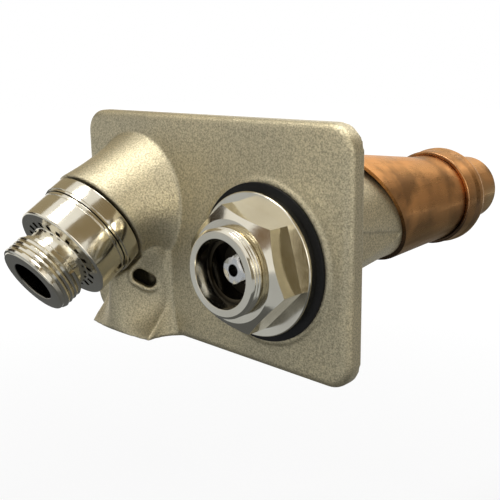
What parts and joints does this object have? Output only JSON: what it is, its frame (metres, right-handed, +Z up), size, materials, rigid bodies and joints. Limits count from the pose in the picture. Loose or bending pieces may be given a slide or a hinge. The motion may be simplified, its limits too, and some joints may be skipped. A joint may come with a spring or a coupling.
{
  "type": "wall hydrant",
  "caption": "Wall hydrant with a rectangular cast face plate, a slanted hose outlet with a vacuum breaker, a key-operated stem and a copper casing behind.",
  "frame": {"origin": "in the wall face at the back of the plate, at mid width and at the stem's height", "axes": "+X right seen from the front, +Y into the wall along the casing, +Z up"},
  "size_m": [0.12, 0.1766, 0.077],
  "materials": {
    "nickel_bronze": "satin sand-cast",
    "chrome": "polished plate",
    "black_ring": "satin black",
    "copper": "bright copper, slightly tarnished",
    "stem_metal": "bright machined",
    "brass": "machined",
    "rubber": "matt",
    "white_plastic": "matt",
    "ceramic": "lapped",
    "spring_steel": "drawn"
  },
  "bodies": {
    "hydrant_body": {"head_casting": "nickel_bronze", "bonnet": "chrome", "breaker_inlet": "chrome", "breaker_outlet": "chrome", "bezel_ring": "black_ring", "casing_tube": "copper", "inlet_coupling": "copper", "gland_nut": "brass", "cartridge_body": "brass", "valve_body": "brass", "bonnet_gasket": "rubber", "cartridge_o_ring": "rubber", "seat_seal": "rubber", "breaker_washer": "rubber", "breaker_diaphragm": "rubber", "stem_packing": "white_plastic", "thrust_washer": "white_plastic", "fixed_disc": "ceramic"},
    "stem_assembly": {"operating_stem": "stem_metal", "stem_o_rings": "rubber", "stem_pin": "spring_steel", "operating_rod": "brass", "cartridge_spindle": "brass", "rotating_disc": "ceramic"},
    "check_assembly": {"check_disc": "white_plastic", "check_spring": "spring_steel"}
  },
  "joints": [
    {"name": "stem_turn", "type": "hinge", "parent": "hydrant_body", "child": "stem_assembly", "pos_m": [0.0275, 0, 0], "axis": [0, 1, 0], "range_deg": [0, 90]},
    {"name": "check_slide", "type": "slide", "parent": "hydrant_body", "child": "check_assembly", "axis": [0, -0.8526, -0.5225], "range_m": [0, 0.0015], "stiffness_N_per_m": 200, "springref_m": -0.001}
  ]
}
